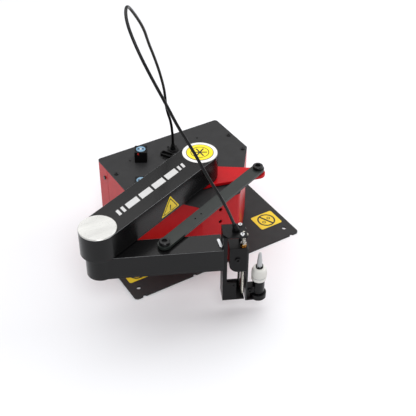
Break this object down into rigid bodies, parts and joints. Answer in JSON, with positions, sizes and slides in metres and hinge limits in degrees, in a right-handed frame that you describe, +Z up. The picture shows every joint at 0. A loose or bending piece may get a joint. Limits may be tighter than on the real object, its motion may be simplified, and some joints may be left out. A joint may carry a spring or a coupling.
{
  "type": "scara robot arm",
  "caption": "Bench-top SCARA robot arm: red cabinet on a black base plate, parallelogram-driven two-link arm, screw-driven tool head with a gripped pen-like tool, and a flexible drive cable.",
  "frame": {"origin": "on the shoulder axis, at the underside of the base plate", "axes": "+Z up along the shoulder axis, -Y towards the machine's front where the arm works, +X to the machine's right seen from the front"},
  "size_m": [0.4544, 0.373, 0.515],
  "materials": {
    "plate_black": "fine-textured black powder coat",
    "cabinet_red": "smooth satin red powder coat",
    "arm_black": "smooth black powder coat",
    "link_grey": "dark grey powder coat",
    "head_black": "black powder-coated bent sheet",
    "zinc": "bright zinc-plated steel",
    "shaft_steel": "ground steel",
    "rod_steel": "polished hard-chromed rod",
    "black_steel": "black-oxide steel fastener",
    "cap_aluminium": "bead-blasted clear-anodised aluminium",
    "machined_aluminium": "machined aluminium",
    "bronze": "oiled bronze",
    "belt_rubber": "black rubber belt",
    "cable_rubber": "smooth black sheath",
    "black_plastic": "moulded black plastic",
    "grey_plastic": "moulded grey plastic",
    "white_disc": "white enamelled disc",
    "yellow_disc": "yellow printed disc",
    "board_green": "green circuit board",
    "supply_grey": "grey painted case",
    "tool_white": "off-white moulded plastic",
    "tool_black": "glossy black plastic"
  },
  "bodies": {
    "base": {"base_plate": "plate_black", "cabinet_shell": "cabinet_red", "rear_cover": "cabinet_red", "top_panel": "plate_black", "body_screws": "black_steel", "motor_deck": "machined_aluminium", "hub_housing": "machined_aluminium", "hub_bearings": "shaft_steel", "shoulder_motor": "black_steel", "crank_motor": "black_steel", "drive_belts": "belt_rubber", "z_motor": "black_steel", "controller_board": "board_green", "power_supply": "supply_grey", "power_inlet": "black_plastic", "cable_gland": "black_plastic", "cable_rear": "cable_rubber"},
    "upper_arm": {"upper_arm_shell": "arm_black", "upper_arm_cover": "arm_black", "arm_screws": "black_steel", "hub_disc": "white_disc", "hub_badge": "yellow_disc", "elbow_cap": "cap_aluminium", "shoulder_shaft": "shaft_steel", "shoulder_pulley": "machined_aluminium", "elbow_housing": "machined_aluminium", "elbow_bearings": "shaft_steel"},
    "forearm": {"forearm_shell": "arm_black", "forearm_cover": "arm_black", "elbow_shaft": "shaft_steel", "fore_pivot_bolt": "black_steel", "z_frame": "head_black", "z_top_plate": "head_black", "z_screws": "zinc", "guide_rods": "rod_steel", "end_clip": "zinc", "head_boot": "black_plastic", "cable_front": "cable_rubber"},
    "crank": {"crank_plate": "cabinet_red", "crank_shaft": "shaft_steel", "crank_pulley": "machined_aluminium", "crank_bushes": "bronze", "crank_pivot_bolt": "black_steel"},
    "link": {"link_bar": "link_grey", "link_bushes": "bronze"},
    "z_carriage": {"carriage_block": "head_black", "lead_nut": "bronze", "slide_bar": "black_steel", "tool_clamp": "black_plastic", "tool_body": "tool_black", "tool_collar": "tool_white", "tool_cone": "grey_plastic"},
    "lead_screw": {"lead_screw": "rod_steel"},
    "input_gear": {"input_gear": "bronze"},
    "shoulder_pinion": {"shoulder_motor_pulley": "machined_aluminium"},
    "crank_pinion": {"crank_motor_pulley": "machined_aluminium"},
    "knob_a": {"knob_a": "black_plastic"},
    "knob_b": {"knob_b": "black_plastic"},
    "power_rocker": {"power_rocker": "black_plastic"},
    "dust_cap": {"dust_cap": "black_plastic"}
  },
  "joints": [
    {"name": "shoulder", "type": "hinge", "parent": "base", "child": "upper_arm", "pos_m": [0, 0, 0.185], "axis": [0, 0, 1], "range_deg": [-6, 70], "deforming": ["cable_rear"]},
    {"name": "elbow", "type": "hinge", "parent": "upper_arm", "child": "forearm", "pos_m": [-0.24537, -0.09272, 0.16], "axis": [0, 0, 1], "range_deg": [-105, 18], "deforming": ["cable_front"]},
    {"name": "crank_turn", "type": "hinge", "parent": "upper_arm", "child": "crank", "pos_m": [0, 0, 0.155], "axis": [0, 0, 1], "range_deg": [-105, 18]},
    {"name": "link_turn", "type": "hinge", "parent": "crank", "child": "link", "pos_m": [0.09501, -0.04471, 0.1645], "axis": [0, 0, 1], "range_deg": [-18, 105]},
    {"name": "z_slide", "type": "slide", "parent": "forearm", "child": "z_carriage", "axis": [0, 0, 1], "range_m": [-0.026, 0.016]},
    {"name": "lead_screw_turn", "type": "hinge", "parent": "forearm", "child": "lead_screw", "pos_m": [-0.03591, -0.1957, 0.11], "axis": [0, 0, 1], "range_deg": [-721, 1171]},
    {"name": "input_gear_turn", "type": "hinge", "parent": "forearm", "child": "input_gear", "pos_m": [-0.0454, -0.18681, 0.179], "axis": [0, 0, 1], "range_deg": [-1171, 721]},
    {"name": "shoulder_motor_turn", "type": "hinge", "parent": "base", "child": "shoulder_pinion", "pos_m": [-0.075, 0.05, 0.04], "axis": [0, 0, 1], "range_deg": [-21.5, 245.5]},
    {"name": "crank_motor_turn", "type": "hinge", "parent": "base", "child": "crank_pinion", "pos_m": [0.075, 0.05, 0.05], "axis": [0, 0, 1], "range_deg": [-368, 63.5]},
    {"name": "knob_a_turn", "type": "hinge", "parent": "base", "child": "knob_a", "pos_m": [-0.0605, 0.1099, 0.16], "axis": [0, 0, 1], "range_deg": [-135, 135]},
    {"name": "knob_b_turn", "type": "hinge", "parent": "base", "child": "knob_b", "pos_m": [-0.1048, 0.0253, 0.16], "axis": [0, 0, 1], "range_deg": [-135, 135]},
    {"name": "rocker_tilt", "type": "hinge", "parent": "base", "child": "power_rocker", "pos_m": [0.02, 0.1495, 0.06], "axis": [0, 0, 1], "range_deg": [-8, 8]},
    {"name": "dust_cap_turn", "type": "hinge", "parent": "base", "child": "dust_cap", "pos_m": [0.005, 0.1055, 0.151], "axis": [0, 0, 1], "range_deg": [-40, 60]}
  ],
  "couplings": [
    {"joint": "crank_turn", "follows": "elbow", "ratio": 1},
    {"joint": "link_turn", "follows": "elbow", "ratio": -1},
    {"joint": "lead_screw_turn", "follows": "z_slide", "rad_per_m": -785.4},
    {"joint": "input_gear_turn", "follows": "z_slide", "rad_per_m": 785.4},
    {"joint": "shoulder_motor_turn", "follows": "shoulder", "ratio": 3.5},
    {"joint": "crank_motor_turn", "follows": "elbow", "ratio": 3.5}
  ]
}
